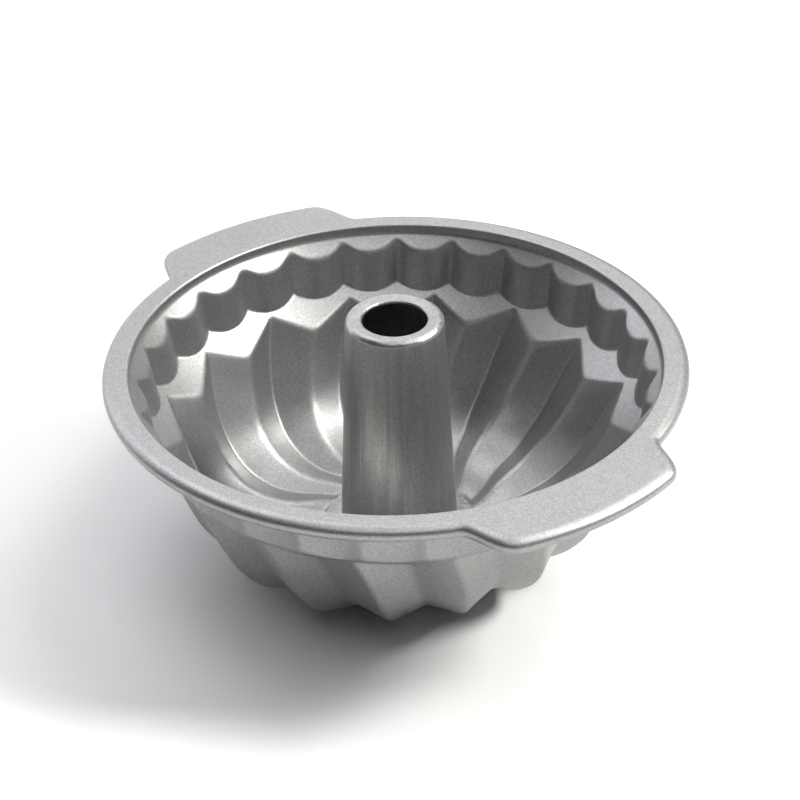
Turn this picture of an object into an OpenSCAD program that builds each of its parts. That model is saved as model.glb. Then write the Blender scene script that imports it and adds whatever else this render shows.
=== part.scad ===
// Fluted tube pan, pressed from coated sheet steel, standing on a table.
// The origin is on the table under the middle of the pan. X runs through the two handles.

/* [Pan] */
// Radius of the mouth, where the flat flange begins
mouth_r = 121; // [119:0.5:126]
// Height of the flange's top face above the table
pan_h = 97; // [90:0.5:108]
// Thickness of the pressed sheet
sheet = 1.2; // [0.8:0.05:1.4]
/* [Rim and handles] */
// Flat width of the flange, from the mouth to the crest of the rolled edge
flange_w = 7.9; // [6:0.1:12]
// Thickness of the rolled edge
bead_d = 5.4; // [4.8:0.1:6.2]
// How far the rolled edge winds round from its crest, in degrees
bead_turn = 290; // [250:5:295]
// How far a handle tab stands out past the rest of the rolled edge
tab_out = 17.6; // [12:0.2:22]
// Width of a handle tab along the rim, between the middles of its flanks
tab_w = 87; // [70:1:110]
// Length along the rim of the S-shaped flank at each end of a tab
tab_flank = 21.4; // [18:0.2:30]
// How far the middle of the tab on +X is turned from X, in degrees
tab_turn = 0.6; // [-4:0.1:4]
// How far the middle of the tab on -X is turned from X, in degrees
far_tab_turn = -2.2; // [-4:0.1:4]
// Rounding of the edge between the flange and the upright step
mouth_round = 1.2; // [0.8:0.1:1.6]
/* [Shoulder and scalloped band] */
// Depth below the flange of the upright step's lower end
step_drop = 3.4; // [2.6:0.1:4]
// Height of the cove from there down to where the step and the sloping shoulder would meet
cove_h = 3.1; // [2:0.1:4]
// Fall of the shoulder and of the ledge for each unit of length inward
slope_share = 0.8; // [0.7:0.02:0.9]
// Number of scallops round the band
scallops = 27; // [24:1:30]
// How far inside the mouth the creases between scallops lie, at the top of the band
band_inset = 4; // [3.4:0.1:5]
// How much further in they lie at the foot of the band
band_lean = 2.8; // [2:0.1:3.4]
// Depth below the flange of those creases at the foot of the band
band_foot_drop = 27.8; // [24:0.2:32]
// How far a scallop bulges inward from the creases at its sides
scallop_depth = 4.6; // [3:0.1:5.4]
// How much narrower than its bulge a crease is, with 1 for an even wave
crease_power = 1.9; // [1:0.1:2.6]
// Angle from the handle axis to the nearest crease, in degrees
scallop_phase = -1.3; // [-6:0.1:6]
/* [Flutes] */
// Number of folded flutes
flutes = 16; // [12:1:18]
// How far inside the band's foot a flute's groove starts
groove_inset = 6; // [5.8:0.1:8]
// How much further in a flute's ridge starts, lower on the same ledge
ridge_inset = 10.8; // [8:0.1:14]
// Gap between the tube's foot flange and the ends of the flutes
flute_gap = 1.6; // [1:0.1:4]
// Height of the sheet's underside above the table where the grooves run out
groove_lift = 0.15; // [0.15:0.05:1]
// How far a ridge stands above the floor where it runs out
ridge_step = 0.5; // [0.2:0.05:1.2]
// Largest sideways lean of the flutes on their way down, in degrees
flute_lean = 8; // [2:0.5:12]
// Rounding along a groove, measured from the sharp corner
groove_round = 1.2; // [0.8:0.1:2.5]
// Rounding along a ridge, measured from the sharp corner
ridge_round = 2.6; // [0.8:0.1:3]
/* [Tube] */
// Radius of the opening in the tube's top
bore_r = 14.6; // [12:0.1:16]
// Width of the tube's rounded crown, from the opening to the outside
crown_w = 7.7; // [6:0.1:9]
// How much wider in radius the tube is at the pan's floor
tube_flare = 5.1; // [3:0.1:7]
// Height of the tube's top above the flange
tube_rise = 19.8; // [10:0.2:30]
// Thickness of the tube's sheet
tube_sheet = 1; // [0.7:0.05:1.2]
// Rounding of the tube's outer shoulder
shoulder_round = 2.3; // [1.8:0.1:4]
// Rounding of the lip that turns down into the opening
lip_round = 1.4; // [1.3:0.1:2.2]
// Length of the straight lip below that rounding
lip_len = 2.4; // [1.5:0.1:5]
// How far the crown's inner edge lies below its outer one
crown_dip = 0.5; // [0:0.1:1]
// Width of the tube's foot flange, which lies on the floor inside the pan
foot_flange_w = 8.6; // [6:0.1:11]
// Fillet between the tube and its foot flange
foot_fillet = 1.4; // [0.8:0.1:2]
// How far inside the foot flange's edge the rolled seam under the floor ends
seam_inset = 1.6; // [0.5:0.1:3]
// Height of the rolled seam, from the table to the underside of the floor
seam_h = 1.8; // [1.4:0.1:2.6]
// Rounding of the rolled seam's lower corners
seam_round = 0.8; // [0.5:0.1:1]
/* [Hidden] */
// Gap between the tube and the hole in the floor that it passes through
throat_gap = 0.1;
// Gap between the wire and the rolled edge round it
wire_gap = 0.1;
// How far the flat floor runs on past the tube's foot flange
floor_margin = 0.4;
// Rounding of the foot flange's edge
flange_edge_round = 0.4;
// Paths of a groove and of a ridge from the ledge to the tube's foot: shares of the run inward and of the drop
groove_run_shares = [0, 0.1, 0.227, 0.425, 0.705, 1];
groove_drop_shares = [0, 0.339, 0.657, 0.884, 0.987, 1];
ridge_run_shares = [0, 0.105, 0.24, 0.455, 0.72, 1];
ridge_drop_shares = [0, 0.341, 0.637, 0.848, 0.956, 1];
// Shares of the lean, the same for both
lean_shares = [0.08, 0.53, 0.85, 1, 0.72, -0.86];
// Steps of the mesh: along a flute, along a scallop, round the plain rings, round the rim and round the bead
flute_steps = 8;
scallop_steps = 8;
plain_steps = 108;
rim_steps = 144;
tab_steps = 38;
bead_steps = 6;
wire_sides = 8;

tube_top_r = bore_r + crown_w;
tube_foot_r = tube_top_r + tube_flare;
foot_flange_r = tube_foot_r + foot_flange_w;
seam_r = foot_flange_r - seam_inset;
flute_end_r = foot_flange_r + flute_gap;
floor_h = seam_h + sheet;
groove_end_h = sheet + groove_lift;
ridge_end_h = floor_h + ridge_step;
shoulder_drop = step_drop + cove_h;
band_top_r = mouth_r - band_inset;
band_foot_r = band_top_r - band_lean;
groove_top_r = band_foot_r - groove_inset;
ridge_top_r = groove_top_r - ridge_inset;
hole_r = tube_foot_r + throat_gap;
floor_r = foot_flange_r + floor_margin;
riser_r = mouth_r - mouth_round;
bead_r = bead_d / 2;
crest_r = mouth_r + flange_w;
curl_step = bead_turn / bead_steps;
wire_r = (bead_r - sheet) * cos(curl_step / 2) - wire_gap;
flute_pitch = 360 / flutes;
band_foot_mid_r = band_foot_r - scallop_depth / 2;
band_top_mid_r = band_top_r - scallop_depth / 2;

// Height of the sloping shoulder and of the ledge at a radius
function shoulder_z(r) = pan_h - shoulder_drop - slope_share * (riser_r - r);
function ledge_z(r) = pan_h - band_foot_drop - slope_share * (band_foot_r - r);

// A point from its radius, angle and height
function polar(r, a, z) = [r * cos(a), r * sin(a), z];
function unit(v) = v / norm(v);
function ease(t) = let (u = max(0, min(1, t))) u * u * u * (10 + u * (6 * u - 15));

// A smooth curve through the values of a list, read at t from 0 to 1
function at(list, i) = list[max(0, min(len(list) - 1, i))];
function blend(list, t) =
    let (s = t * (len(list) - 1), i = min(floor(s), len(list) - 2), u = s - i)
    let (p = at(list, i), q = at(list, i + 1))
    let (before = i > 0 ? at(list, i - 1) : 2 * p - q, after = i + 2 < len(list) ? at(list, i + 2) : 2 * q - p)
    p + u / 2 * (q - before + u * (2 * before - 5 * p + 4 * q - after + u * (3 * (p - q) + after - before)));

// Radius, angle and height of a groove or a ridge, at t from the ledge to the tube's foot
function flute_path(t, top_r, end_h, run, drop) = [
    top_r - (top_r - flute_end_r) * blend(run, t),
    flute_lean * blend(lean_shares, t),
    ledge_z(top_r) - (ledge_z(top_r) - end_h) * blend(drop, t)
];
function groove(t) = flute_path(t, groove_top_r, groove_end_h, groove_run_shares, groove_drop_shares);
function ridge(t) = flute_path(t, ridge_top_r, ridge_end_h, ridge_run_shares, ridge_drop_shares);
// Corner i of the fold at t: even corners lie in a groove and odd ones on a ridge
function fold_corner(t, i) =
    let (p = i % 2 == 0 ? groove(t) : ridge(t))
    polar(p[0], p[1] + i * flute_pitch / 2, p[2]);
// A corner rounded into three points
function rounded(before, corner, after, size) =
    let (a = corner + unit(before - corner) * min(size, norm(before - corner) / 3))
    let (b = corner + unit(after - corner) * min(size, norm(after - corner) / 3))
    [a, (a + b + 2 * corner) / 4, b];

// The rings below run round the pan, each shifted outward and down by a pair of lengths
function shifted(ring, by) = [
    for (p = ring) let (a = atan2(p[1], p[0])) p + [by[0] * cos(a), by[0] * sin(a), by[1]]
];
function fold_ring(t) = [
    for (i = [0 : 2 * flutes - 1]) each rounded(
        fold_corner(t, i - 1), fold_corner(t, i), fold_corner(t, i + 1),
        i % 2 == 0 ? groove_round : ridge_round)
];
function plain_ring(r, z, n) = [for (i = [0 : n - 1]) polar(r, 360 * i / n, z)];
// The scallop's wave is nothing at a crease and one in the middle of a bulge
function bulge(a) = 1 - pow((1 + cos(a * scallops)) / 2, crease_power);
function band_r(a, crease_r) = crease_r - scallop_depth * bulge(a);
function band_ring(crease_r, top) = [
    for (i = [0 : scallops * scallop_steps - 1])
    let (a = 360 * i / scallops / scallop_steps, r = band_r(a, crease_r))
    polar(r, a + scallop_phase, top ? shoulder_z(r) : ledge_z(r))
];
// Middle line of the rolled edge, with a tab at each end of X
tab_mids = [tab_turn, 180 + far_tab_turn, 360 + tab_turn];
function tab_share(a) =
    let (off = min([for (m = tab_mids) abs(a - m)]) * PI / 180 * crest_r)
    ease((tab_w / 2 + tab_flank / 2 - off) / tab_flank);
function crest(a) = polar(crest_r + tab_out * tab_share(a), a, 0);
function crest_out(a) =
    let (d = 180 / rim_steps, along = crest(a + d) - crest(a - d))
    unit([along[1], -along[0], 0]);
// The rim's steps are closer along the tabs
tab_half = (tab_w + tab_flank) / 2 / crest_r * 180 / PI;
function rim_angle(i) =
    let (side = floor(i * 2 / rim_steps), j = i - side * rim_steps / 2, k = j - tab_steps)
    let (first = tab_mids[side] + tab_half, gap = tab_mids[side + 1] - tab_half - first)
    j < tab_steps ? tab_mids[side] + tab_half * (2 * j / tab_steps - 1)
    : first + gap * k / (rim_steps / 2 - tab_steps);
// A ring round the rolled edge, at an angle up from its outermost line
function bead_ring(turn, r) = [
    for (i = [0 : rim_steps - 1])
    let (a = rim_angle(i))
    crest(a) + crest_out(a) * r * cos(turn) + [0, 0, pan_h - bead_r + r * sin(turn)]
];

// Middle section of the sheet's inside face, from the hole in the floor to the crest of the rolled edge
cove_drop = (step_drop + shoulder_drop) / 2 + (shoulder_drop - step_drop) / 4;
cove_r = riser_r - (shoulder_drop - step_drop) / 6;
mouth_mid = mouth_round * (1 - sqrt(1 / 2));
function mean_fold(t) = let (g = groove(t), r = ridge(t)) [(g[0] + r[0]) / 2, (g[2] + r[2]) / 2];
section = concat(
    [[hole_r, floor_h], [floor_r, floor_h]],
    [for (i = [flute_steps : -1 : 0]) mean_fold(i / flute_steps)],
    [
        [band_foot_mid_r, ledge_z(band_foot_mid_r)],
        [band_top_mid_r, shoulder_z(band_top_mid_r)],
        [cove_r, pan_h - cove_drop],
        [riser_r, pan_h - step_drop],
        [riser_r, pan_h - mouth_round],
        [riser_r + mouth_mid, pan_h - mouth_mid],
        [mouth_r, pan_h],
        [crest_r, pan_h]
    ]);
fold_first = 2;
band_first = fold_first + flute_steps + 1;
// Shift from the inside face to the outside one, so that the sheet keeps its thickness round a bend
function away_from(p, q) = let (d = unit(q - p)) [d[1], -d[0]];
function mitre(i) =
    let (last = len(section) - 1)
    let (m = away_from(section[max(0, i - 1)], section[max(1, i)]))
    let (n = away_from(section[min(last - 1, i)], section[min(last, i + 1)]))
    sheet * (m + n) / (1 + m * n);

plain_rings = [
    for (i = [band_first + 2 : len(section) - 2]) plain_ring(section[i][0], section[i][1], plain_steps)
];
inside = concat(
    [for (i = [0 : 1]) plain_ring(section[i][0] / cos(180 / flutes / 6), section[i][1], 6 * flutes)],
    [for (i = [flute_steps : -1 : 0]) fold_ring(i / flute_steps)],
    [band_ring(band_foot_r, false), band_ring(band_top_r, true)],
    plain_rings);
outside = [for (i = [len(inside) - 1 : -1 : 0]) shifted(inside[i], mitre(i))];
curl = concat(
    [for (i = [0 : bead_steps]) bead_ring(90 - i * curl_step, bead_r)],
    [for (i = [bead_steps : -1 : 0]) bead_ring(90 - i * curl_step, bead_r - sheet)]);
rings = concat(inside, curl, outside);

// Number of the point where each ring starts
function starts(i = 0, sum = 0) = i == len(rings) ? [] : concat([sum], starts(i + 1, sum + len(rings[i])));
start = starts();

// Triangles between two rings of the same number of points
function band_faces(a, b, n) = [
    for (i = [0 : n - 1]) let (j = (i + 1) % n) each [[a + i, a + j, b + i], [a + j, b + j, b + i]]
];
// Triangles between a ring and an evenly spaced one with another number of points
function angle_of(p) = atan2(p[1], p[0]);
function wrap(i, n) = ((i % n) + n) % n;
function nearest(ring, i, other) =
    let (mid = (ring[i] + ring[(i + 1) % len(ring)]) / 2)
    wrap(round((angle_of(mid) - angle_of(other[0])) * len(other) / 360), len(other));
function zip_faces(ring, a, other, b, turned) =
    let (n = len(ring), m = len(other), near = [for (i = [0 : n - 1]) nearest(ring, i, other)])
    let (faces = [
        for (i = [0 : n - 1])
        let (from = near[wrap(i - 1, n)], count = wrap(near[i] - from, m))
        each concat(
            [[a + i, a + (i + 1) % n, b + near[i]]],
            [for (k = [0 : 1 : count - 1]) [a + i, b + wrap(from + k + 1, m), b + wrap(from + k, m)]])
    ])
    turned ? [for (f = faces) [f[0], f[2], f[1]]] : faces;
// The uneven rings, of the folds and of the rim, are the ones that look for their neighbours
function join_faces(i) =
    let (j = (i + 1) % len(rings), p = rings[i], q = rings[j])
    len(p) == len(q) ? band_faces(start[i], start[j], len(p))
    : len(q) == 6 * flutes || len(q) == rim_steps ? zip_faces(q, start[j], p, start[i], true)
    : zip_faces(p, start[i], q, start[j], false);

// One pressed sheet: floor, flutes, ledge, scalloped band, shoulder, flange with handles and rolled edge
module pan_shell() {
    color("silver")
    polyhedron(
        points = [for (ring = rings) each ring],
        faces = [for (i = [0 : len(rings) - 1]) each join_faces(i)],
        convexity = 10);
}

// Points of an arc round a centre, from one angle to another
arc_steps = 6;
function arc(c, r, from, to) = [
    for (i = [0 : arc_steps]) let (a = from + (to - from) * i / arc_steps) c + r * [cos(a), sin(a)]
];
tube_top_h = pan_h + tube_rise;
flange_top_h = floor_h + sheet;
tube_in_r = tube_foot_r - tube_sheet;
taper = atan((tube_foot_r - tube_top_r) / (tube_top_h - shoulder_round - flange_top_h));

// The tube: tapered wall, rounded crown with a lip turned into the opening, foot flange and rolled seam
module centre_tube() {
    shoulder_c = [tube_top_r - shoulder_round, tube_top_h - shoulder_round];
    lip_c = [bore_r + lip_round, tube_top_h - crown_dip - lip_round];
    crown_in = shoulder_round - tube_sheet;
    color("gainsboro")
    rotate_extrude($fn = 180)
    polygon(concat(
        arc([tube_in_r + seam_round, seam_round], seam_round, 180, 270),
        arc([seam_r - seam_round, seam_round], seam_round, -90, 0),
        [[seam_r, seam_h], [tube_foot_r, seam_h], [tube_foot_r, floor_h], [foot_flange_r, floor_h]],
        arc([foot_flange_r - flange_edge_round, flange_top_h - flange_edge_round], flange_edge_round, 0, 90),
        arc([tube_foot_r + foot_fillet, flange_top_h + foot_fillet], foot_fillet, 270, 180 + taper),
        arc(shoulder_c, shoulder_round, taper, 90),
        arc(lip_c, lip_round, 90, 180),
        [
            [bore_r, lip_c[1] - lip_len],
            [bore_r + tube_sheet, lip_c[1] - lip_len]
        ],
        arc(lip_c, lip_round - tube_sheet, 180, 90),
        arc(shoulder_c, crown_in, 90, taper),
        [[tube_in_r, flange_top_h]]));
}

// Steel wire that the edge of the sheet is rolled round
module rim_wire() {
    loops = [for (k = [0 : wire_sides - 1]) bead_ring(360 * k / wire_sides, wire_r)];
    color("dimgray")
    polyhedron(
        points = [for (ring = loops) each ring],
        faces = [
            for (k = [0 : wire_sides - 1])
            each band_faces(((k + 1) % wire_sides) * rim_steps, k * rim_steps, rim_steps)
        ],
        convexity = 10);
}

pan_shell();
centre_tube();
rim_wire();
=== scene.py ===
import math

import bmesh
import bpy
import numpy as np
from mathutils import Matrix, Vector


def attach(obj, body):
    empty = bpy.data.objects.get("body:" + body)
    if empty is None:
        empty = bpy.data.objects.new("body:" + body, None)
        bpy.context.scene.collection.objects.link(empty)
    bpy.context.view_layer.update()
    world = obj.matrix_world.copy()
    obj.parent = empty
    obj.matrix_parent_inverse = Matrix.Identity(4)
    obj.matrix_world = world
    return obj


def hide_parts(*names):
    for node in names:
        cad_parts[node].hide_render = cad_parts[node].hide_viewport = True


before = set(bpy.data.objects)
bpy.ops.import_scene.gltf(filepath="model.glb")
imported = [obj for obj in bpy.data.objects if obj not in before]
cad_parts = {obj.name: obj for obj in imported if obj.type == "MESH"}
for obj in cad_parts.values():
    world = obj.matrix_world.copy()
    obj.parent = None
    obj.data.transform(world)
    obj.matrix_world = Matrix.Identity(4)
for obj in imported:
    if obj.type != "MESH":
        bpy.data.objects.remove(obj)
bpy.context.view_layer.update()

millimetre = 0.001
upward = np.array([0, 0, 1.0])
quarters = (0, 0.25, 0.5, 0.75, 1)
print("frame loaded:", sorted(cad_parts))


def linearColour(code):
    # sRGB hex to linear RGBA
    parts = [int(code[i:i + 2], 16) / 255 for i in (1, 3, 5)]
    return [c / 12.92 if c <= 0.04045 else ((c + 0.055) / 1.055) ** 2.4 for c in parts] + [1.0]


def addNode(tree, kind, inputs=None, **settings):
    # one node with its settings; an input is a value or another node's socket
    node = tree.nodes.new(kind)
    for name, value in settings.items():
        setattr(node, name, value)
    for key, value in (inputs or {}).items():
        if isinstance(value, bpy.types.NodeSocket):
            tree.links.new(value, node.inputs[key])
        else:
            node.inputs[key].default_value = value
    return node


def inScene(piece):
    bpy.context.scene.collection.objects.link(piece)
    return piece


def meshPiece(name, points, faces):
    # points come in millimetres
    mesh = bpy.data.meshes.new(name)
    mesh.from_pydata((np.asarray(points) * millimetre).tolist(), [], faces)
    mesh.update()
    return inScene(bpy.data.objects.new(name, mesh))


def facesOutward(mesh, weld=None):
    # merges doubles where a distance is given, then turns the faces outward
    work = bmesh.new()
    work.from_mesh(mesh)
    if weld:
        bmesh.ops.remove_doubles(work, verts=work.verts, dist=weld * millimetre)
    bmesh.ops.recalc_face_normals(work, faces=work.faces)
    work.to_mesh(mesh)
    work.free()
    mesh.shade_smooth()


def polarPoint(r, degrees, z):
    a = np.radians(degrees)
    return np.stack(np.broadcast_arrays(r * np.cos(a), r * np.sin(a), z), -1)


def polarAngle(ring):
    return np.degrees(np.arctan2(ring[:, 1], ring[:, 0]))


def through(values, t):
    # smooth curve through evenly spaced values, t from 0 to 1
    v = np.concatenate([[2 * values[0] - values[1]], values, [2 * values[-1] - values[-2]]])
    s = t * (len(values) - 1)
    i = min(int(s), len(values) - 2)
    u = s - i
    a, b, c, d = v[i:i + 4]
    return b + u / 2 * (c - a + u * (2 * a - 5 * b + 4 * c - d + u * (3 * (b - c) + d - a)))


def rounding(before, corner, after, shares):
    # quadratic curve that rounds a corner off, at each share of its length
    s = np.reshape(shares, (-1,) + (1,) * np.ndim(before))
    return (1 - s) ** 2 * before + 2 * s * (1 - s) * corner + s ** 2 * after


def gridNormals(grid):
    # normals of a ring grid, rows outward and columns round the pan
    across = np.gradient(grid, axis=0)
    around = np.roll(grid, -1, axis=1) - np.roll(grid, 1, axis=1)
    normal = np.cross(across, around)
    return normal / np.linalg.norm(normal, axis=2, keepdims=True)


def gridFaces(rows, columns, closed, first=0):
    wide = columns if closed else columns - 1
    return [
        (first + i * columns + j, first + i * columns + (j + 1) % columns,
         first + (i + 1) * columns + (j + 1) % columns, first + (i + 1) * columns + j)
        for i in range(rows - 1) for j in range(wide)
    ]


def zipFaces(ringA, firstA, ringB, firstB):
    # triangles between two rings with different numbers of points, taken by angle
    def ordered(ring):
        angle = polarAngle(ring) % 360
        return np.argsort(angle), np.sort(angle)
    orderA, angleA = ordered(ringA)
    orderB, angleB = ordered(ringB)
    countA, countB = len(orderA), len(orderB)
    i = j = 0
    faces = []
    while i < countA or j < countB:
        nextA = angleA[(i + 1) % countA] + 360 * ((i + 1) // countA)
        nextB = angleB[(j + 1) % countB] + 360 * ((j + 1) // countB)
        a, b = firstA + int(orderA[i % countA]), firstB + int(orderB[j % countB])
        if j >= countB or (i < countA and nextA <= nextB):
            faces.append((a, firstA + int(orderA[(i + 1) % countA]), b))
            i += 1
        else:
            faces.append((a, firstB + int(orderB[(j + 1) % countB]), b))
            j += 1
    return faces


# The pressed shell. Sizes are in millimetres and degrees, from the axis and the table.
pan = {
    "top": 97.0, "mouthR": 121.0, "mouthRound": 1.2, "sheet": 1.2,
    "riserFoot": 1.8,  # depth of the upright step's foot below the flange
    "shoulderDrop": 4.2, "shoulderSlope": 0.95,  # its start below the flange, and its fall inward
    "coveEndR": 118.6,
    "slope": 0.8,  # fall of the ledge inward
    "floorTop": 3.0, "floorRings": (27.5, 31.5, 35.9, 36.4),
    "weld": 0.02,
}
riserR = pan["mouthR"] - pan["mouthRound"]
ledgeAngle, shoulderAngle = math.atan(pan["slope"]), math.atan(pan["shoulderSlope"])
# inward along the ledge and along the shoulder, as (r, z)
ledgeDown = np.array([-math.cos(ledgeAngle), -math.sin(ledgeAngle)])
shoulderDown = np.array([-math.cos(shoulderAngle), -math.sin(shoulderAngle)])
sheet = pan["sheet"]


def shoulderZ(r):
    return pan["top"] - pan["shoulderDrop"] - pan["shoulderSlope"] * (riserR - r)


def ledgeZ(r):
    return pan["top"] - band["footDrop"] - pan["slope"] * (band["footR"] - r)


def coneNormals(ring, angle):
    # the ledge and the shoulder are cones that fall inward, so their normals lean to the tube
    return polarPoint(-math.sin(angle), polarAngle(ring), math.cos(angle))


def sectorOf(name, inner, outer, count, joinFirst):
    # one repeat of a ring grid, both faces of the sheet
    width = inner.shape[1] // count + 1
    points, faces = [], []
    for grid in (inner, outer):
        cut = grid[:, :width].reshape(-1, 3)
        faces += gridFaces(inner.shape[0], width, False, len(points))
        points += list(cut)
    if joinFirst:  # the sheet's edge at the hole in the floor
        back = inner.shape[0] * width
        faces += [(j, j + 1, back + j + 1, back + j) for j in range(width - 1)]
    return meshPiece(name, points, faces)


# Flutes: folded faces between grooves and ridges, which lean sideways on their way to the tube.
# Run, drop and lean are read at even steps from the ledge to the floor.
flute = {
    "count": 16, "endR": 37.6, "rows": 42, "lean": 8.0,
    "grooveR": 108.2, "grooveEnd": 1.35, "grooveRound": 1.2,
    "grooveRun": (0, 0.1, 0.227, 0.425, 0.705, 1),
    "grooveDrop": (0, 0.339, 0.657, 0.884, 0.987, 1),
    "grooveLean": (0.08, 0.53, 0.85, 1, 0.72, -0.86),
    "ridgeR": 97.4, "ridgeEnd": 3.5, "ridgeRound": 2.6,
    "ridgeRun": (0, 0.105, 0.24, 0.455, 0.72, 1),
    "ridgeDrop": (0, 0.341, 0.637, 0.848, 0.956, 1),
    "ridgeLean": (0.23, 0.58, 0.89, 1.09, 0.79, -0.71),
    "edgeRound": (1.2, 2.4),  # at a groove and at a ridge, where the flutes meet the ledge
    "edgeStart": 0.022,  # share of the run where that rounding starts
    "edgeFade": 6,  # how fast the ledge's shape fades out down the flutes
    "cornerSoft": 0.6,  # how much rounder the folds are at the ledge
    "ledgeRing": 1.25,  # where the last ring lies, for each unit of rounding
    "cornerPoints": 7, "faceColumns": (6, 7),
}


def foldCorner(t, i):
    kind = "groove" if i % 2 == 0 else "ridge"
    startR, endZ = flute[kind + "R"], flute[kind + "End"]
    r = startR - (startR - flute["endR"]) * through(flute[kind + "Run"], t)
    z = ledgeZ(startR) - (ledgeZ(startR) - endZ) * through(flute[kind + "Drop"], t)
    turn = flute["lean"] * through(flute[kind + "Lean"], t) + i * 180 / flute["count"]
    return polarPoint(r, turn, z)


def foldRing(t):
    corners = [foldCorner(t, i) for i in range(-1, 2 * flute["count"] + 2)]
    shares = np.linspace(0, 1, flute["cornerPoints"])
    ends = []
    for i in range(1, len(corners) - 1):
        size = flute["grooveRound"] if (i - 1) % 2 == 0 else flute["ridgeRound"]
        size *= 1 + flute["cornerSoft"] * (1 - t) ** flute["edgeFade"]
        c = corners[i]
        legs = []
        for other in (corners[i - 1], corners[i + 1]):
            length = np.linalg.norm(other - c)
            legs.append(c + (other - c) / length * min(size, length / 3))
        ends.append(rounding(legs[0], c, legs[1], shares))
    half = flute["cornerPoints"] // 2
    ring = []
    for i in range(2 * flute["count"]):
        here, following = ends[i], ends[i + 1]
        count = flute["faceColumns"][i % 2]
        s = (np.arange(1, count + 1) / (count + 1))[:, None]
        ring += [here[half:], here[-1] + (following[0] - here[-1]) * s, following[:half]]
    return np.concatenate(ring)


def fluteGrid():
    edge = foldRing(0.0)
    edgeR = np.hypot(edge[:, 0], edge[:, 1])
    sink = ledgeZ(edgeR) - edge[:, 2]  # sets the straight edge on the cone of the ledge
    rows = []
    for t in np.linspace(1, flute["edgeStart"], flute["rows"]):
        ring = foldRing(t)
        ring[:, 2] += sink * (1 - t) ** flute["edgeFade"]
        rows.append(ring)
    floorRows = [polarPoint(r, polarAngle(rows[0]), pan["floorTop"]) for r in pan["floorRings"]]
    edge[:, 2] += sink
    turn = polarAngle(edge)
    share = (flute["grooveR"] - edgeR) / (flute["grooveR"] - flute["ridgeR"])
    atGroove, atRidge = flute["edgeRound"]
    leg = (atGroove + (atRidge - atGroove) * share) * math.cos(ledgeAngle)
    onLedge = polarPoint(edgeR + leg, turn, ledgeZ(edgeR + leg))
    curve = rounding(rows[-1], edge, onLedge, quarters[1:])
    lastR = edgeR + leg * flute["ledgeRing"]
    grid = np.stack(floorRows + rows + list(curve) + [polarPoint(lastR, turn, ledgeZ(lastR))])
    normals = gridNormals(grid)
    normals[:len(floorRows)] = upward
    for row in (-1, -2):
        normals[row] = coneNormals(grid[row], ledgeAngle)
    return grid, grid - normals * sheet


# Scalloped band: bulges with wide round caps at the top and sharp creases between them at the foot.
band = {
    "count": 27, "phase": -1.3, "topR": 117.0, "footR": 114.2, "footDrop": 27.8,
    "depth": 4.6, "topDepth": 4.4, "capHalf": 0.12, "topPower": 2.5, "footPower": 2.2,
    "capSoft": 0.12, "creaseSoft": 0.07, "topRound": 1.9, "footRound": (0.55, 1.8),
    "wallShares": (0.05, 0.5, 0.95), "ledgeRing": 1.2, "shoulderRing": 0.15,
    "columnShares": (0.045, 0.09, 0.14, 0.2, 0.27, 0.35, 0.44, 0.54, 0.65, 0.77, 0.89),
}


def bandGrid():
    shares = np.array(band["columnShares"])
    half = 180 / band["count"]
    one = np.concatenate([[0], shares, [1], 2 - shares[::-1]]) * half
    turn = np.concatenate([one + 2 * half * k for k in range(band["count"])])
    away = 1 - np.abs(1 - turn / half % 2)  # 0 in a crease, 1 in the middle of a bulge

    def bulge(start, power, soft):
        s = (away - start) / (1 - start)
        s = np.clip((s + np.hypot(s, soft)) / (1 + math.hypot(1, soft)), 0, 1)
        return 1 - (1 - s) ** power

    def section(r, z):
        return np.stack([r, z], -1)

    capped = bulge(band["capHalf"], band["topPower"], band["capSoft"])
    creased = bulge(0, band["footPower"], band["creaseSoft"])
    footR = band["footR"] - band["depth"] * creased
    topR = band["topR"] - band["topDepth"] * capped
    foot, top = section(footR, ledgeZ(footR)), section(topR, shoulderZ(topR))
    wall = (top - foot) / np.linalg.norm(top - foot, axis=1)[:, None]
    small, large = band["footRound"]
    legFoot = (large + (small - large) * creased)[:, None]
    legTop = band["topRound"]
    low = rounding(foot + ledgeDown * legFoot, foot, foot + wall * legFoot, quarters)
    high = rounding(top - wall * legTop, top, top - shoulderDown * legTop, quarters)
    between = [low[-1] + (high[0] - low[-1]) * s for s in band["wallShares"]]
    onLedge = foot + ledgeDown * legFoot * band["ledgeRing"]
    onShoulder = top - shoulderDown * (legTop + band["shoulderRing"])
    rows = [onLedge, *low, *between, *high, onShoulder]
    grid = np.stack([polarPoint(row[:, 0], turn + band["phase"], row[:, 1]) for row in rows])
    normals = gridNormals(grid)
    for row, angle in ((0, ledgeAngle), (1, ledgeAngle), (-1, shoulderAngle), (-2, shoulderAngle)):
        normals[row] = coneNormals(grid[row], angle)
    return grid, grid - normals * sheet


# Rim: shoulder, cove, upright step, flange with its two tabs, and the rolled edge.
rim = {
    "crestR": 128.08, "beadR": 3.5, "beadTurn": 290,
    "beadLead": 1.2,  # how far before the bead the flange starts to fall
    "tabOut": 17.6, "tabW": 87.0, "tabFlank": 21.4, "tabMiddles": (0.6, 177.8),
    "tabColumns": 110, "gapColumns": 130, "beadRows": 18, "innerBeadRows": 8,
    "coveRows": 7, "mouthRows": 6,
    "lookAside": 0.2,  # degrees to either side that give the rim's direction
    "flangeShares": (0.04, 0.35, 0.7, 0.97), "underShares": (0.03, 0.5, 0.95),
    "nearCove": 0.3, "nearMouth": 0.15, "nearCorner": 0.4,  # rows that keep the step's shading flat
}


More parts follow.
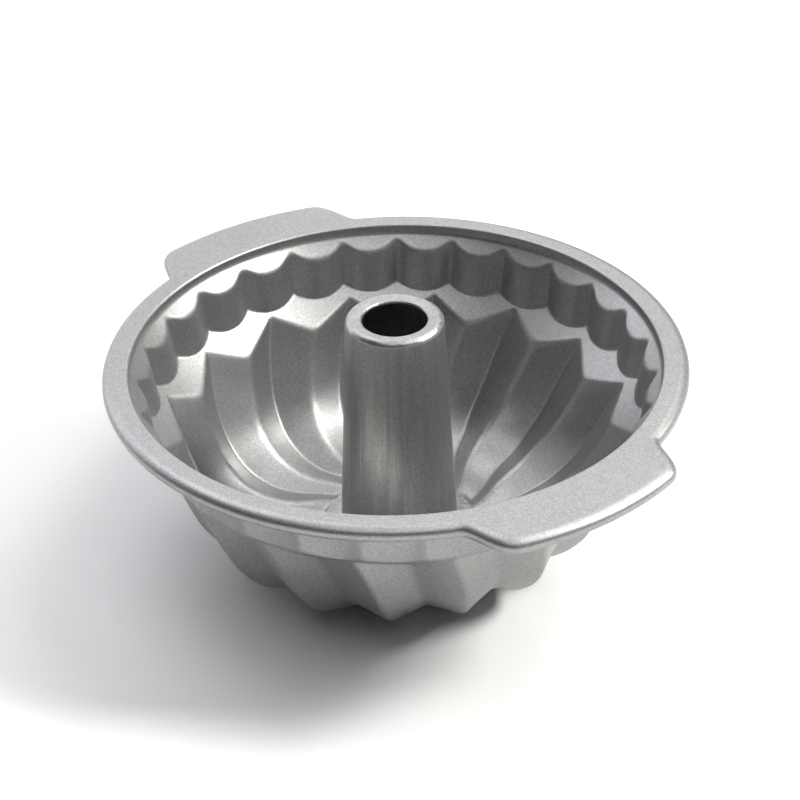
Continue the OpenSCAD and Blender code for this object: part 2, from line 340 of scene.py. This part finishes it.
def tabShare(turn):
    # 1 along a tab and 0 between the tabs, with an S-shaped flank
    off = np.min([np.abs((turn - m + 180) % 360 - 180) for m in rim["tabMiddles"]], axis=0)
    outer = rim["tabW"] / 2 + rim["tabFlank"] / 2
    t = np.clip((outer - np.radians(off) * rim["crestR"]) / rim["tabFlank"], 0, 1)
    return t ** 3 * (10 + t * (6 * t - 15))


def crest(turn):
    return polarPoint(rim["crestR"] + rim["tabOut"] * tabShare(turn), turn, 0.0)


def rimTurns():
    # columns are closer together along the tabs
    half = math.degrees((rim["tabW"] + rim["tabFlank"]) / 2 / rim["crestR"])
    first, second = rim["tabMiddles"]
    turns = []
    for middle, following in ((first, second), (second, first + 360)):
        turns.append(middle - half + 2 * half * np.arange(rim["tabColumns"]) / rim["tabColumns"])
        gap = following - middle - 2 * half
        turns.append(middle + half + gap * np.arange(rim["gapColumns"]) / rim["gapColumns"])
    return np.concatenate(turns)


def rimRows():
    turn = rimTurns()
    along = crest(turn + rim["lookAside"]) - crest(turn - rim["lookAside"])
    outward = np.stack([along[:, 1], -along[:, 0], 0 * turn], -1)
    outward /= np.linalg.norm(outward, axis=1)[:, None]
    middle = crest(turn) + upward * (pan["top"] - rim["beadR"])

    def bead(degrees, r):
        a = math.radians(degrees)
        reach = r * math.cos(a)
        if degrees >= 0:
            reach += rim["beadLead"] * (math.cos(a) - 1)
        return middle + outward * reach + upward * r * math.sin(a)

    def plain(r, z):
        return polarPoint(r, turn, z)

    coveEnd = np.array([pan["coveEndR"], shoulderZ(pan["coveEndR"])])
    coveCorner = np.array([riserR, pan["top"] - pan["shoulderDrop"]])
    coveTop = np.array([riserR, pan["top"] - pan["riserFoot"]])
    cove = rounding(coveEnd, coveCorner, coveTop, np.linspace(0, 1, rim["coveRows"]))
    mouth = [
        (pan["mouthR"] + pan["mouthRound"] * math.cos(a), pan["top"] + pan["mouthRound"] * (math.sin(a) - 1))
        for a in np.radians(np.linspace(180, 90, rim["mouthRows"]))
    ]
    step = [(riserR, coveTop[1] + rim["nearCove"]), (riserR, mouth[0][1] - rim["nearMouth"])]
    inside = [plain(r, z) for r, z in [*cove, *step, *mouth]]
    edge = inside[-1]
    start = bead(90, rim["beadR"])
    inside += [edge + (start - edge) * s for s in rim["flangeShares"]]
    count = rim["beadRows"]
    inside += [bead(90 - rim["beadTurn"] * i / count, rim["beadR"]) for i in range(count + 1)]
    count = rim["innerBeadRows"]
    under = [bead(90 - rim["beadTurn"] * (1 - i / count), rim["beadR"] - sheet) for i in range(count + 1)]
    # underside of the flange and outside of the step, back down to the shoulder
    cornerR, cornerZ = riserR + sheet, pan["top"] - sheet
    corner = plain(cornerR, cornerZ)
    under += [under[-1] + (corner - under[-1]) * s for s in rim["underShares"]] + [corner]
    slant = np.gradient(cove, axis=0)
    slant /= np.linalg.norm(slant, axis=1)[:, None]
    back = cove + np.stack([slant[:, 1], -slant[:, 0]], -1) * sheet
    back[0] = coveEnd + np.array([math.sin(shoulderAngle), -math.cos(shoulderAngle)]) * sheet
    under += [plain(r, z) for r, z in [(cornerR, cornerZ - rim["nearCorner"]), *back[::-1]]]
    return np.stack(inside + under)


fluteIn, fluteOut = fluteGrid()
bandIn, bandOut = bandGrid()
rimGrid = rimRows()
print("grids:", fluteIn.shape, bandIn.shape, rimGrid.shape)

# the ledges join rings whose points don't match, so they are zipped up by angle
points = list(rimGrid.reshape(-1, 3))
faces = gridFaces(rimGrid.shape[0], rimGrid.shape[1], True)
pairs = (
    (fluteIn[-1], bandIn[0]), (fluteOut[-1], bandOut[0]),
    (bandIn[-1], rimGrid[0]), (bandOut[-1], rimGrid[-1]),
)
for low, high in pairs:
    firstLow = len(points)
    points += list(low)
    firstHigh = len(points)
    points += list(high)
    faces += zipFaces(low, firstLow, high, firstHigh)
shellBase = meshPiece("shellBase", points, faces)
fluteSector = sectorOf("fluteSector", fluteIn, fluteOut, flute["count"], True)
bandSector = sectorOf("bandSector", bandIn, bandOut, band["count"], False)
print("sectors made")


# Coating, drawn lines and wire. Grain, patch, width, depth and scale are in millimetres.
coating = {
    "colour": "#a1a1a0", "darker": "#979798", "metallic": 0.9, "roughness": 0.44,
    "grain": 0.5, "patch": 30.0, "sparkle": 0.36, "flakeTilt": 0.03, "roughSpread": 0.05,
}
tubeStreaks = {
    "colour": "#b0b0ae", "darker": "#8a8a89", "roughness": 0.39,
    "width": 2.6, "stretch": 0.03, "share": 0.8, "depth": 0.38,
}
wire = {"colour": "#8d8d90", "darker": "#77777a", "roughness": 0.45, "scale": 1.5}


def perMetre(size):
    # a pattern's scale for a size in millimetres
    return 1000 / size


def newMaterial(name):
    material = bpy.data.materials.new(name)
    material.use_nodes = True
    tree = material.node_tree
    tree.nodes.clear()
    return material, tree


def coatedSteel(name, streaks):
    # Silicone non-stick coating with aluminium flake, sprayed on steel: satin grey with a fine sparkle.
    material, tree = newMaterial(name)
    tones = streaks or coating
    place = addNode(tree, "ShaderNodeTexCoord").outputs["Object"]
    # the flake is about 0.1 mm across and is drawn as half a millimetre so that it shows
    flake = addNode(tree, "ShaderNodeTexVoronoi", {
        "Vector": place, "Scale": perMetre(coating["grain"]),
    }, feature="F1").outputs["Color"]
    centred = addNode(tree, "ShaderNodeVectorMath", {0: flake, 1: (0.5, 0.5, 0.5)}, operation="SUBTRACT")
    tilt = addNode(tree, "ShaderNodeVectorMath", {
        0: centred.outputs[0], "Scale": coating["flakeTilt"],
    }, operation="SCALE")
    surface = addNode(tree, "ShaderNodeNewGeometry").outputs["Normal"]
    tilted = addNode(tree, "ShaderNodeVectorMath", {0: surface, 1: tilt.outputs[0]}, operation="ADD")
    normal = addNode(tree, "ShaderNodeVectorMath", {0: tilted.outputs[0]}, operation="NORMALIZE").outputs[0]
    # broad, faint unevenness of the sprayed coat
    tone = addNode(tree, "ShaderNodeTexNoise", {
        "Vector": place, "Scale": perMetre(coating["patch"]), "Detail": 3.0,
    }).outputs["Fac"]
    if streaks:  # drawn lines along the tube
        stretched = addNode(tree, "ShaderNodeMapping", {"Vector": place, "Scale": (1, 1, streaks["stretch"])})
        lines = addNode(tree, "ShaderNodeTexNoise", {
            "Vector": stretched.outputs[0], "Scale": perMetre(streaks["width"]), "Detail": 2.0,
        }).outputs["Fac"]
        tone = addNode(tree, "ShaderNodeMix", {0: streaks["share"], 2: tone, 3: lines}).outputs[0]
        normal = addNode(tree, "ShaderNodeBump", {
            "Height": lines, "Distance": streaks["depth"] * millimetre, "Normal": normal,
        }).outputs[0]
    # each flake is a little lighter or darker than its neighbour
    flakeTone = addNode(tree, "ShaderNodeSeparateColor", {"Color": flake}).outputs[0]
    spark = addNode(tree, "ShaderNodeMapRange", {
        "Value": flakeTone, "To Min": 1 - coating["sparkle"] / 2, "To Max": 1 + coating["sparkle"] / 2,
    }).outputs[0]
    mixed = addNode(tree, "ShaderNodeMix", {
        0: tone, 6: linearColour(tones["darker"]), 7: linearColour(tones["colour"]),
    }, data_type="RGBA").outputs[2]
    colour = addNode(tree, "ShaderNodeVectorMath", {0: mixed, "Scale": spark}, operation="SCALE").outputs[0]
    low = tones["roughness"] - coating["roughSpread"] / 2
    rough = addNode(tree, "ShaderNodeMapRange", {
        "Value": tone, "To Min": low + coating["roughSpread"], "To Max": low,
    }).outputs[0]
    shader = addNode(tree, "ShaderNodeBsdfPrincipled", {
        "Base Color": colour, "Metallic": coating["metallic"], "Roughness": rough, "Normal": normal,
    })
    addNode(tree, "ShaderNodeOutputMaterial", {"Surface": shader.outputs[0]})
    return material


def drawnWire():
    # Plain drawn steel wire, grey and a little dull, hidden in the rolled edge.
    material, tree = newMaterial("drawnSteelWire")
    place = addNode(tree, "ShaderNodeTexCoord").outputs["Object"]
    mill = addNode(tree, "ShaderNodeTexNoise", {
        "Vector": place, "Scale": perMetre(wire["scale"]), "Detail": 2.0,
    }).outputs["Fac"]
    colour = addNode(tree, "ShaderNodeMix", {
        0: mill, 6: linearColour(wire["darker"]), 7: linearColour(wire["colour"]),
    }, data_type="RGBA").outputs[2]
    shader = addNode(tree, "ShaderNodeBsdfPrincipled", {
        "Base Color": colour, "Metallic": 1.0, "Roughness": wire["roughness"],
    })
    addNode(tree, "ShaderNodeOutputMaterial", {"Surface": shader.outputs[0]})
    return material


shellCoat = coatedSteel("siliconeCoatedSteelSheet", None)
tubeCoat = coatedSteel("siliconeCoatedSteelTube", tubeStreaks)
wireSteel = drawnWire()
print("materials made")


# The shell's tree: flutes and scallops repeat round the axis and are welded to the ledges.
def repeatRound(tree, sector, count):
    ring = addNode(tree, "GeometryNodePoints", {"Count": count})
    number = addNode(tree, "GeometryNodeInputIndex").outputs[0]
    pitch = addNode(tree, "ShaderNodeMath", {0: math.tau, 1: count}, operation="DIVIDE")
    angle = addNode(tree, "ShaderNodeMath", {0: number, 1: pitch.outputs[0]}, operation="MULTIPLY")
    turn = addNode(tree, "ShaderNodeCombineXYZ", {"Z": angle.outputs[0]})
    shape = addNode(tree, "GeometryNodeObjectInfo", {"Object": sector})
    spread = addNode(tree, "GeometryNodeInstanceOnPoints", {
        "Points": ring.outputs[0], "Instance": shape.outputs["Geometry"], "Rotation": turn.outputs[0],
    })
    return spread.outputs[0]


def shellTree():
    tree = bpy.data.node_groups.new("flutedShell", "GeometryNodeTree")
    sockets = {}
    for name, kind in (
        ("Ledges and rim", "NodeSocketGeometry"), ("Flute", "NodeSocketObject"),
        ("Flutes", "NodeSocketInt"), ("Scallop", "NodeSocketObject"), ("Scallops", "NodeSocketInt"),
        ("Weld distance", "NodeSocketFloat"), ("Coating", "NodeSocketMaterial"),
    ):
        socket = tree.interface.new_socket(name=name, in_out="INPUT", socket_type=kind)
        sockets[name] = socket.identifier
    tree.interface.new_socket(name="Shell", in_out="OUTPUT", socket_type="NodeSocketGeometry")
    given = addNode(tree, "NodeGroupInput").outputs
    joined = addNode(tree, "GeometryNodeJoinGeometry")
    for part in (
        repeatRound(tree, given["Flute"], given["Flutes"]),
        repeatRound(tree, given["Scallop"], given["Scallops"]),
        given["Ledges and rim"],
    ):
        tree.links.new(part, joined.inputs[0])
    real = addNode(tree, "GeometryNodeRealizeInstances", {"Geometry": joined.outputs[0]})
    welded = addNode(tree, "GeometryNodeMergeByDistance", {
        "Geometry": real.outputs[0], "Distance": given["Weld distance"],
    })
    smooth = addNode(tree, "GeometryNodeSetShadeSmooth", {"Geometry": welded.outputs[0]})
    coated = addNode(tree, "GeometryNodeSetMaterial", {
        "Geometry": smooth.outputs[0], "Material": given["Coating"],
    })
    addNode(tree, "NodeGroupOutput", {0: coated.outputs[0]})
    return tree, sockets


tree, sockets = shellTree()
modifier = shellBase.modifiers.new("repeat", "NODES")
modifier.node_group = tree
for name, value in (
    ("Flute", fluteSector), ("Flutes", flute["count"]),
    ("Scallop", bandSector), ("Scallops", band["count"]),
    ("Weld distance", pan["weld"] * millimetre), ("Coating", shellCoat),
):
    modifier[sockets[name]] = value
evaluated = shellBase.evaluated_get(bpy.context.evaluated_depsgraph_get())
panMesh = bpy.data.meshes.new_from_object(evaluated)
panMesh.name = "panShellSkin"
shellBase.modifiers.remove(modifier)
for helper in (shellBase, fluteSector, bandSector):
    bpy.data.objects.remove(helper)
facesOutward(panMesh)
panShell = inScene(bpy.data.objects.new("panShellSkin", panMesh))
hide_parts("pan_shell")
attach(panShell, "root")
print("shell:", len(panMesh.vertices), "points,", len(panMesh.polygons), "faces")


# The tube: tapered wall, rounded crown with a turned-in lip, foot flange and rolled seam.
tube = {
    "boreR": 14.6, "topR": 22.3, "footR": 27.4, "topZ": 116.8, "sheet": 1.0,
    "crownRound": 3.2, "lipRound": 1.4, "lipLen": 0.5, "crownDip": 0.5,
    "flangeR": 36.0, "flangeBottom": 3.0, "flangeEdge": 0.4, "footRound": 1.4,
    "seamR": 34.4, "seamTop": 1.8, "seamRound": 0.8, "segments": 192, "arcSteps": 8,
    "longRun": 2.0, "nearEnd": 0.35, "weld": 0.01,
}


def arcPoints(centre, r, start, end):
    turns = np.radians(np.linspace(start, end, tube["arcSteps"] + 1))
    return [(centre[0] + r * math.cos(a), centre[1] + r * math.sin(a)) for a in turns]


def tubeSection():
    # the sheet's outline as (r, z), from the seam up the outside and down the inside
    flangeTop = tube["flangeBottom"] + tube["sheet"]
    innerR = tube["footR"] - tube["sheet"]
    seamR, seamRound = tube["seamR"], tube["seamRound"]
    flangeR, flangeEdge = tube["flangeR"], tube["flangeEdge"]
    footR, footRound = tube["footR"], tube["footRound"]
    rise = tube["topZ"] - tube["crownRound"] - flangeTop
    lean = math.degrees(math.atan((footR - tube["topR"]) / rise))
    crown = (tube["topR"] - tube["crownRound"], tube["topZ"] - tube["crownRound"])
    lip = (tube["boreR"] + tube["lipRound"], tube["topZ"] - tube["crownDip"] - tube["lipRound"])
    lipEnd = lip[1] - tube["lipLen"]
    return [
        *arcPoints((innerR + seamRound, seamRound), seamRound, 180, 270),
        *arcPoints((seamR - seamRound, seamRound), seamRound, -90, 0),
        (seamR, tube["seamTop"]), (footR, tube["seamTop"]),
        (footR, tube["flangeBottom"]), (flangeR, tube["flangeBottom"]),
        *arcPoints((flangeR - flangeEdge, flangeTop - flangeEdge), flangeEdge, 0, 90),
        *arcPoints((footR + footRound, flangeTop + footRound), footRound, 270, 180 + lean),
        *arcPoints(crown, tube["crownRound"], lean, 90),
        *arcPoints(lip, tube["lipRound"], 90, 180),
        (tube["boreR"], lipEnd), (tube["boreR"] + tube["sheet"], lipEnd),
        *arcPoints(lip, tube["lipRound"] - tube["sheet"], 180, 90),
        *arcPoints(crown, tube["crownRound"] - tube["sheet"], 90, lean),
        (innerR, flangeTop),
    ]


def supported(section):
    # keeps shading flat on long runs by adding a point close to each of their ends
    made = []
    for a, b in zip(section, section[1:] + section[:1]):
        a, b = np.array(a), np.array(b)
        length = np.linalg.norm(b - a)
        made.append(a)
        if length > tube["longRun"]:
            ease = (b - a) * tube["nearEnd"] / length
            made += [a + ease, b - ease]
    return np.array(made)


outline = supported(tubeSection())
turns = np.arange(tube["segments"]) * 360 / tube["segments"]
rings = np.stack([polarPoint(r, turns, z) for r, z in [*outline, outline[0]]])
tubeFaces = gridFaces(len(rings), tube["segments"], True)
tubeSkin = meshPiece("centreTubeSkin", rings.reshape(-1, 3), tubeFaces)
facesOutward(tubeSkin.data, tube["weld"])
tubeSkin.data.materials.append(tubeCoat)
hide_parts("centre_tube")
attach(tubeSkin, "root")

# the wire keeps its solid's mesh
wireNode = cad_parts["rim_wire"]
wireNode.data.materials.clear()
wireNode.data.materials.append(wireSteel)
print("tube and wire done")


# Floor, backdrop and lamps. Sizes are in metres here.
studio = {
    "floorColour": "#f6f6f6", "backdrop": "#ffffff",
    "backdropTop": (1, 7), "darkCeiling": 0.0,  # degrees over which the backdrop fades out
    "floorHalf": 6.0, "floorZ": -0.0001,
    "plainWithin": 0.45, "whiteBeyond": 1.05,  # the floor turns from lit paper to plain white
    "aimHeight": 0.05, "far": 1.9,
    "lamps": (
        # name, watts, wide and high, direction it stands in, elevation, light
        ("keySoftbox", 44.0, 0.5, 0.5, 56, 41, "#fffdfa"),
        ("keyHigh", 15.0, 1.0, 1.0, 90, 58, "#fffdfa"),
        ("leftOverhead", 15.0, 1.2, 1.2, 183, 56, "#f9fbff"),
        ("leftFill", 9.5, 1.2, 0.9, 203, 22, "#f9fbff"),
        ("rightOverhead", 9.0, 1.2, 1.2, 330, 72, "#ffffff"),
        ("backLow", 6.0, 1.3, 0.8, 160, 14, "#f9fbff"),
        ("backSoftbox", 6.4, 1.2, 0.8, 130, 38, "#ffffff"),
    ),
}


def studioFloor():
    mesh = bpy.data.meshes.new("paperFloor")
    half, low = studio["floorHalf"], studio["floorZ"]
    corners = [(-half, -half, low), (half, -half, low), (half, half, low), (-half, half, low)]
    mesh.from_pydata(corners, [], [(0, 1, 2, 3)])
    floor = inScene(bpy.data.objects.new("paperFloor", mesh))
    # Matt white background paper: lit by the lamps near the pan, and plain white further off.
    material, tree = newMaterial("whiteBackgroundPaper")
    matt = addNode(tree, "ShaderNodeBsdfDiffuse", {"Color": linearColour(studio["floorColour"])})
    white = addNode(tree, "ShaderNodeEmission", {
        "Color": linearColour(studio["backdrop"]), "Strength": 1.0,
    })
    place = addNode(tree, "ShaderNodeTexCoord").outputs["Object"]
    away = addNode(tree, "ShaderNodeVectorMath", {0: place}, operation="LENGTH").outputs["Value"]
    share = addNode(tree, "ShaderNodeMapRange", {
        "Value": away, "From Min": studio["plainWithin"], "From Max": studio["whiteBeyond"],
    }, interpolation_type="SMOOTHSTEP").outputs[0]
    ray = addNode(tree, "ShaderNodeLightPath").outputs
    seen = ray["Is Camera Ray"]
    for kind in ("Is Glossy Ray", "Is Transmission Ray"):
        seen = addNode(tree, "ShaderNodeMath", {0: seen, 1: ray[kind]}, operation="MAXIMUM").outputs[0]
    share = addNode(tree, "ShaderNodeMath", {0: seen, 1: share}, operation="MULTIPLY").outputs[0]
    mixed = addNode(tree, "ShaderNodeMixShader", {0: share, 1: matt.outputs[0], 2: white.outputs[0]})
    addNode(tree, "ShaderNodeOutputMaterial", {"Surface": mixed.outputs[0]})
    mesh.materials.append(material)


def studioBackdrop():
    # a low white backdrop all round, under a dark ceiling
    world = bpy.data.worlds.new("studio")
    bpy.context.scene.world = world
    world.use_nodes = True
    tree = world.node_tree
    tree.nodes.clear()
    way = addNode(tree, "ShaderNodeTexCoord").outputs["Generated"]
    height = addNode(tree, "ShaderNodeSeparateXYZ", {0: way}).outputs["Z"]
    start, end = (math.sin(math.radians(a)) for a in studio["backdropTop"])
    strength = addNode(tree, "ShaderNodeMapRange", {
        "Value": height, "From Min": start, "From Max": end,
        "To Min": 1.0, "To Max": studio["darkCeiling"],
    }, interpolation_type="SMOOTHSTEP").outputs[0]
    back = addNode(tree, "ShaderNodeBackground", {
        "Color": linearColour(studio["backdrop"]), "Strength": strength,
    })
    addNode(tree, "ShaderNodeOutputWorld", {"Surface": back.outputs[0]})


def studioLamps():
    aim = Vector((0, 0, studio["aimHeight"]))
    for name, watts, wide, high, turn, rise, light in studio["lamps"]:
        lamp = bpy.data.lights.new(name, "AREA")
        lamp.color = linearColour(light)[:3]
        lamp.shape = "RECTANGLE"
        lamp.energy = watts
        lamp.size, lamp.size_y = wide, high
        holder = inScene(bpy.data.objects.new(name, lamp))
        way = Vector(polarPoint(math.cos(math.radians(rise)), turn, math.sin(math.radians(rise))))
        holder.location = aim + studio["far"] * way
        holder.rotation_euler = (aim - holder.location).to_track_quat("-Z", "Y").to_euler()


# The camera's place, aim and lens were found from the photograph's circles and ellipses.
lookout = {
    "place": (0.69061, -0.46058, 0.62504), "aim": (0.00085, 0.00127, 0.07251),
    "roll": -1.359, "lens": 98.49, "sensor": 36, "nearest": 0.05, "furthest": 30,
}


def studioCamera():
    data = bpy.data.cameras.new("camera")
    data.lens = lookout["lens"]
    data.sensor_width = lookout["sensor"]
    data.clip_start, data.clip_end = lookout["nearest"], lookout["furthest"]
    camera = inScene(bpy.data.objects.new("camera", data))
    place, aim = Vector(lookout["place"]), Vector(lookout["aim"])
    ahead = (aim - place).normalized()
    right = ahead.cross(Vector((0, 0, 1))).normalized()
    up = right.cross(ahead)
    roll = math.radians(lookout["roll"])
    level = math.cos(roll) * right + math.sin(roll) * up
    upright = math.cos(roll) * up - math.sin(roll) * right
    pose = Matrix((level, upright, -ahead)).transposed().to_4x4()
    pose.translation = place
    camera.matrix_world = pose
    bpy.context.scene.camera = camera


studioFloor()
studioBackdrop()
studioLamps()
studioCamera()
bpy.context.scene.view_settings.view_transform = "Standard"
print("studio ready")
